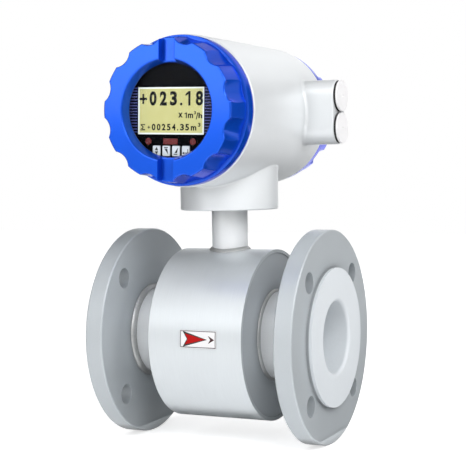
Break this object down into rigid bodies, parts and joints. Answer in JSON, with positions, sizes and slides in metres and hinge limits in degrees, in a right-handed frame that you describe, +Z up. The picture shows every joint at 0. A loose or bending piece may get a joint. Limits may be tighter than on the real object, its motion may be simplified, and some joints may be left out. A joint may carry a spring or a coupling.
{
  "type": "electromagnetic flow meter",
  "caption": "Flanged pipeline flow meter with lined tube, coil drum, neck and a round converter head that has a display window and screwed covers.",
  "frame": {"origin": "centre of the inlet sealing face, on the pipe axis", "axes": "+X along the pipe from inlet to outlet, +Y from the display side to the rear, +Z up the neck to the converter head"},
  "size_m": [0.2, 0.229, 0.35],
  "materials": {
    "light_paint": "satin paint",
    "blue_paint": "gloss paint",
    "satin_steel": "satin",
    "flange_steel": "satin",
    "weld": "satin",
    "liner": "satin",
    "arrow_plate": "printed",
    "magnet_iron": "satin",
    "coil_copper": "satin",
    "electrode_steel": "polished",
    "insulator": "matte",
    "black_rubber": "matte",
    "screws": "satin",
    "white_plastic": "gloss",
    "window_glass": "gloss",
    "ring_metal": "satin",
    "panel_black": "satin",
    "lcd": "gloss",
    "dark_red": "gloss",
    "keys": "satin",
    "circuit_board": "satin",
    "switch_black": "satin",
    "standoff_brass": "satin",
    "terminal_plastic": "satin"
  },
  "bodies": {
    "meter": {"converter_housing": "light_paint", "display_board": "circuit_board", "display_panel": "panel_black", "drum_shell": "satin_steel", "earth_screw": "screws", "electrode_insulators": "insulator", "electrode_nuts": "electrode_steel", "far_electrode": "electrode_steel", "flow_arrow_plate": "arrow_plate", "infrared_windows": "dark_red", "inlet_end_plate": "satin_steel", "inlet_flange": "flange_steel", "inlet_flange_weld": "weld", "inlet_plate_weld": "weld", "key_switches": "switch_black", "lcd_module": "lcd", "lower_coil": "coil_copper", "lower_pole_shoe": "magnet_iron", "lower_standoffs": "standoff_brass", "magnet_yoke": "magnet_iron", "main_board": "circuit_board", "measuring_tube": "satin_steel", "near_electrode": "electrode_steel", "neck_flange": "satin_steel", "neck_gasket": "black_rubber", "neck_screws": "screws", "neck_tube": "satin_steel", "neck_weld": "weld", "outlet_end_plate": "satin_steel", "outlet_flange": "flange_steel", "outlet_flange_weld": "weld", "outlet_plate_weld": "weld", "panel_posts": "switch_black", "terminal_block": "terminal_plastic", "terminal_board": "circuit_board", "terminal_screws": "screws", "terminal_standoffs": "standoff_brass", "tube_liner": "liner", "upper_coil": "coil_copper", "upper_pole_shoe": "magnet_iron", "upper_standoffs": "standoff_brass"},
    "front_seal_ring": {"front_cover_seal": "black_rubber"},
    "front_cover_unit": {"front_cover": "blue_paint", "window_glass": "window_glass", "window_gasket": "black_rubber", "window_retaining_ring": "ring_metal"},
    "rear_seal_ring": {"rear_cover_seal": "black_rubber"},
    "rear_cover_unit": {"rear_cover": "blue_paint"},
    "upper_washer": {"upper_plug_washer": "black_rubber"},
    "upper_plug": {"upper_entry_plug": "white_plastic"},
    "lower_washer": {"lower_plug_washer": "black_rubber"},
    "lower_plug": {"lower_entry_plug": "white_plastic"},
    "setting_key_cap": {"setting_key": "keys"},
    "down_key_cap": {"down_key": "keys"},
    "up_key_cap": {"up_key": "keys"},
    "enter_key_cap": {"enter_key": "keys"}
  },
  "joints": [
    {"name": "front_cover_travel", "type": "slide", "parent": "meter", "child": "front_seal_ring", "axis": [0, -1, 0], "range_m": [0, 0.01002]},
    {"name": "front_cover_turn", "type": "hinge", "parent": "front_seal_ring", "child": "front_cover_unit", "pos_m": [0.1, -0.083, 0.1945], "axis": [0, -1, 0], "range_deg": [0, 1800]},
    {"name": "rear_cover_travel", "type": "slide", "parent": "meter", "child": "rear_seal_ring", "axis": [0, 1, 0], "range_m": [0, 0.01002]},
    {"name": "rear_cover_turn", "type": "hinge", "parent": "rear_seal_ring", "child": "rear_cover_unit", "pos_m": [0.1, 0.078, 0.1945], "axis": [0, 1, 0], "range_deg": [0, 1800]},
    {"name": "upper_plug_travel", "type": "slide", "parent": "meter", "child": "upper_washer", "axis": [1, 0, 0], "range_m": [0, 0.01202]},
    {"name": "upper_plug_turn", "type": "hinge", "parent": "upper_washer", "child": "upper_plug", "pos_m": [0.1885, 0.0415, 0.2087], "axis": [1, 0, 0], "range_deg": [0, 2880]},
    {"name": "lower_plug_travel", "type": "slide", "parent": "meter", "child": "lower_washer", "axis": [1, 0, 0], "range_m": [0, 0.01202]},
    {"name": "lower_plug_turn", "type": "hinge", "parent": "lower_washer", "child": "lower_plug", "pos_m": [0.1885, 0.0415, 0.1803], "axis": [1, 0, 0], "range_deg": [0, 2880]},
    {"name": "setting_key_press", "type": "slide", "parent": "meter", "child": "setting_key_cap", "axis": [0, 1, 0], "range_m": [0, 0.0005], "stiffness_N_per_m": 400},
    {"name": "down_key_press", "type": "slide", "parent": "meter", "child": "down_key_cap", "axis": [0, 1, 0], "range_m": [0, 0.0005], "stiffness_N_per_m": 400},
    {"name": "up_key_press", "type": "slide", "parent": "meter", "child": "up_key_cap", "axis": [0, 1, 0], "range_m": [0, 0.0005], "stiffness_N_per_m": 400},
    {"name": "enter_key_press", "type": "slide", "parent": "meter", "child": "enter_key_cap", "axis": [0, 1, 0], "range_m": [0, 0.0005], "stiffness_N_per_m": 400}
  ],
  "couplings": [
    {"joint": "front_cover_travel", "follows": "front_cover_turn", "m_per_rad": 0.00031831},
    {"joint": "rear_cover_travel", "follows": "rear_cover_turn", "m_per_rad": 0.00031831},
    {"joint": "upper_plug_travel", "follows": "upper_plug_turn", "m_per_rad": 0.00023873},
    {"joint": "lower_plug_travel", "follows": "lower_plug_turn", "m_per_rad": 0.00023873}
  ]
}
